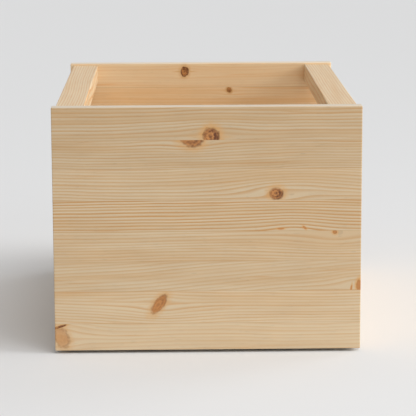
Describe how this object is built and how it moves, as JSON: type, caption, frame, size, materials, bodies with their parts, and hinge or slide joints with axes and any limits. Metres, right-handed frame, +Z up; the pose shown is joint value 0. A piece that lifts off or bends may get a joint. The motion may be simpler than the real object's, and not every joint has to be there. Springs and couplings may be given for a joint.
{
  "type": "toy box",
  "caption": "Open-topped pine toy box with a rail and a hand-hold gap along each side, standing on hidden swivel castors.",
  "frame": {"origin": "on the ground, under the centre of the box", "axes": "+Z up; the front panel faces -Y, and the hand-hold gaps face +X and -X"},
  "size_m": [0.385, 0.5, 0.313],
  "materials": {
    "pine": "clear satin lacquer",
    "beech": "bare, planed",
    "plywood": "sanded",
    "zinc_steel": "bright zinc plate",
    "bright_steel": "zinc plated",
    "wheel_plastic": "moulded, satin"
  },
  "bodies": {
    "box": {"front_panel": "pine", "back_panel": "pine", "left_side_panel": "pine", "right_side_panel": "pine", "left_top_rail": "pine", "right_top_rail": "pine", "floor_board": "plywood", "left_rail_dowel_front_inner": "beech", "left_rail_dowel_front_outer": "beech", "left_side_dowel_front_lower": "beech", "left_side_dowel_front_upper": "beech", "left_rail_dowel_back_inner": "beech", "left_rail_dowel_back_outer": "beech", "left_side_dowel_back_lower": "beech", "left_side_dowel_back_upper": "beech", "right_rail_dowel_front_inner": "beech", "right_rail_dowel_front_outer": "beech", "right_side_dowel_front_lower": "beech", "right_side_dowel_front_upper": "beech", "right_rail_dowel_back_inner": "beech", "right_rail_dowel_back_outer": "beech", "right_side_dowel_back_lower": "beech", "right_side_dowel_back_upper": "beech", "castor_plate_front_left": "zinc_steel", "castor_plate_front_right": "zinc_steel", "castor_plate_back_left": "zinc_steel", "castor_plate_back_right": "zinc_steel", "castor_kingpin_front_left": "bright_steel", "castor_kingpin_front_right": "bright_steel", "castor_kingpin_back_left": "bright_steel", "castor_kingpin_back_right": "bright_steel", "castor_screw_front_left_1": "bright_steel", "castor_screw_front_left_2": "bright_steel", "castor_screw_front_left_3": "bright_steel", "castor_screw_front_left_4": "bright_steel", "castor_screw_front_right_1": "bright_steel", "castor_screw_front_right_2": "bright_steel", "castor_screw_front_right_3": "bright_steel", "castor_screw_front_right_4": "bright_steel", "castor_screw_back_left_1": "bright_steel", "castor_screw_back_left_2": "bright_steel", "castor_screw_back_left_3": "bright_steel", "castor_screw_back_left_4": "bright_steel", "castor_screw_back_right_1": "bright_steel", "castor_screw_back_right_2": "bright_steel", "castor_screw_back_right_3": "bright_steel", "castor_screw_back_right_4": "bright_steel"},
    "castor_front_left": {"castor_fork_front_left": "zinc_steel", "castor_axle_front_left": "bright_steel"},
    "wheel_front_left": {"castor_wheel_front_left": "wheel_plastic"},
    "castor_front_right": {"castor_fork_front_right": "zinc_steel", "castor_axle_front_right": "bright_steel"},
    "wheel_front_right": {"castor_wheel_front_right": "wheel_plastic"},
    "castor_back_left": {"castor_fork_back_left": "zinc_steel", "castor_axle_back_left": "bright_steel"},
    "wheel_back_left": {"castor_wheel_back_left": "wheel_plastic"},
    "castor_back_right": {"castor_fork_back_right": "zinc_steel", "castor_axle_back_right": "bright_steel"},
    "wheel_back_right": {"castor_wheel_back_right": "wheel_plastic"}
  },
  "joints": [
    {"name": "swivel_front_left", "type": "hinge", "parent": "box", "child": "castor_front_left", "pos_m": [-0.13, -0.19, 0.0359], "axis": [0, 0, 1], "continuous": true},
    {"name": "wheel_spin_front_left", "type": "hinge", "parent": "castor_front_left", "child": "wheel_front_left", "pos_m": [-0.13, -0.177, 0.015], "axis": [1, 0, 0], "continuous": true},
    {"name": "swivel_front_right", "type": "hinge", "parent": "box", "child": "castor_front_right", "pos_m": [0.13, -0.19, 0.0359], "axis": [0, 0, 1], "continuous": true},
    {"name": "wheel_spin_front_right", "type": "hinge", "parent": "castor_front_right", "child": "wheel_front_right", "pos_m": [0.13, -0.177, 0.015], "axis": [1, 0, 0], "continuous": true},
    {"name": "swivel_back_left", "type": "hinge", "parent": "box", "child": "castor_back_left", "pos_m": [-0.13, 0.19, 0.0359], "axis": [0, 0, 1], "continuous": true},
    {"name": "wheel_spin_back_left", "type": "hinge", "parent": "castor_back_left", "child": "wheel_back_left", "pos_m": [-0.13, 0.203, 0.015], "axis": [1, 0, 0], "continuous": true},
    {"name": "swivel_back_right", "type": "hinge", "parent": "box", "child": "castor_back_right", "pos_m": [0.13, 0.19, 0.0359], "axis": [0, 0, 1], "continuous": true},
    {"name": "wheel_spin_back_right", "type": "hinge", "parent": "castor_back_right", "child": "wheel_back_right", "pos_m": [0.13, 0.203, 0.015], "axis": [1, 0, 0], "continuous": true}
  ]
}
